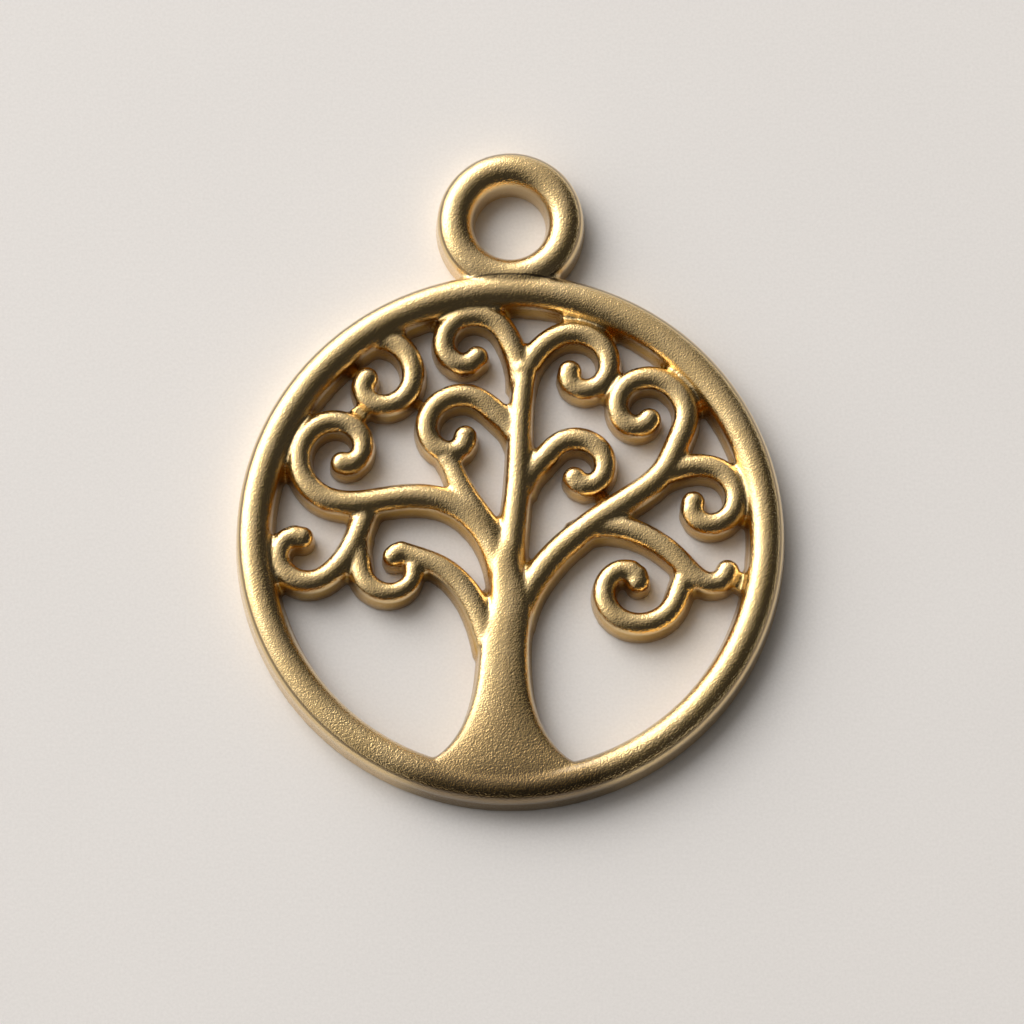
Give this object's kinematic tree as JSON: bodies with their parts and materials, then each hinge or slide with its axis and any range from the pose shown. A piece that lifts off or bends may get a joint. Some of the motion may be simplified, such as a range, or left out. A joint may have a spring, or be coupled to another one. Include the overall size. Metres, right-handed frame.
{
  "type": "tree of life pendant",
  "caption": "Round openwork charm: a domed ring framing a tree with scrolling branches, with a cast hanging loop.",
  "frame": {"origin": "middle of the round frame, on the flat back, which lies on the trunk's line", "axes": "+Z out of the decorated face, +Y towards the hanging loop, +X to the right seen from the front"},
  "size_m": [0.02, 0.0246, 0.0016],
  "materials": {
    "gold": "satin gold plate with a fine cast grain"
  },
  "bodies": {
    "root": {"charm": "gold"}
  },
  "joints": []
}
